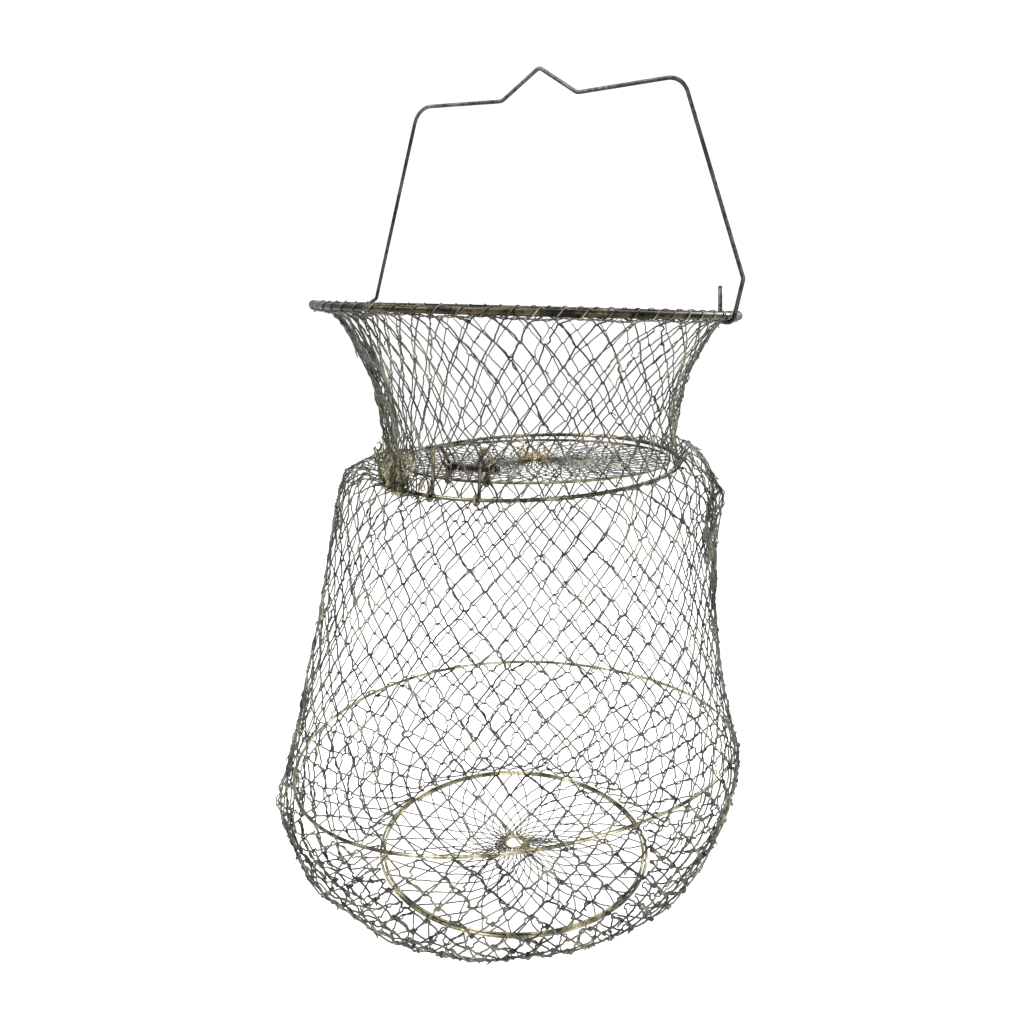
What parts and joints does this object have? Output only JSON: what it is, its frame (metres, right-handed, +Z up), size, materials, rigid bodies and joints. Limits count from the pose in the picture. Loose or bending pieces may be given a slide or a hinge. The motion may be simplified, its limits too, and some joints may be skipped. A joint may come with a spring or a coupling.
{
  "type": "collapsible wire keep net",
  "caption": "Collapsible wire fish basket with a hooked wire bail, a wide mouth ring, a sprung trap door in its neck and netting down to a flat bottom.",
  "frame": {"origin": "underside of the bail's peak, where the basket hangs", "axes": "+Z up, X along the bail between its two hooks, +Y towards the side of the neck away from the door's hinge"},
  "size_m": [0.3392, 0.3321, 0.5775],
  "materials": {
    "dark_steel": "tarnished bright steel wire",
    "net_wire": "thin dulled brassy-plated wire",
    "brassy_steel": "brassy-plated steel wire",
    "gold_wire": "bright brassy wire",
    "spring_steel": "dark spring wire"
  },
  "bodies": {
    "bail": {"bail": "dark_steel"},
    "rim": {"rim_ring": "dark_steel", "rim_lacing": "net_wire", "collar_net": "net_wire"},
    "neck": {"neck_ring": "dark_steel", "neck_lacing": "net_wire", "hinge_arm_left": "dark_steel", "hinge_arm_right": "dark_steel", "hinge_rod": "dark_steel", "flap_spring": "spring_steel", "body_net": "net_wire"},
    "flap": {"flap_ring": "brassy_steel", "flap_lug_left": "dark_steel", "flap_lug_right": "dark_steel", "flap_net": "net_wire", "flap_centre_tie": "gold_wire"},
    "base": {"base_ring": "brassy_steel", "skirt_net": "net_wire"},
    "bottom": {"bottom_ring": "brassy_steel", "bottom_net": "net_wire", "bottom_centre_tie": "gold_wire"}
  },
  "joints": [
    {"name": "bail_swing", "type": "hinge", "parent": "bail", "child": "rim", "pos_m": [0, 0, -0.1625], "axis": [1, 0, 0], "range_deg": [-58, 70]},
    {"name": "collar_slide", "type": "slide", "parent": "rim", "child": "neck", "axis": [0, 0, 1], "range_m": [0, 0.083], "deforming": ["collar_net"]},
    {"name": "body_slide", "type": "slide", "parent": "neck", "child": "base", "axis": [0, 0, 1], "range_m": [0, 0.18], "deforming": ["body_net"]},
    {"name": "bottom_slide", "type": "slide", "parent": "base", "child": "bottom", "axis": [0, 0, 1], "range_m": [0, 0.06], "deforming": ["skirt_net"]},
    {"name": "flap_hinge", "type": "hinge", "parent": "neck", "child": "flap", "pos_m": [0.01299, -0.08642, -0.25832], "axis": [0.9929, 0.1117, 0.0414], "range_deg": [-70, 0], "stiffness_Nm_per_rad": 0.08, "springref_deg": 85.94, "deforming": ["flap_spring"]}
  ]
}
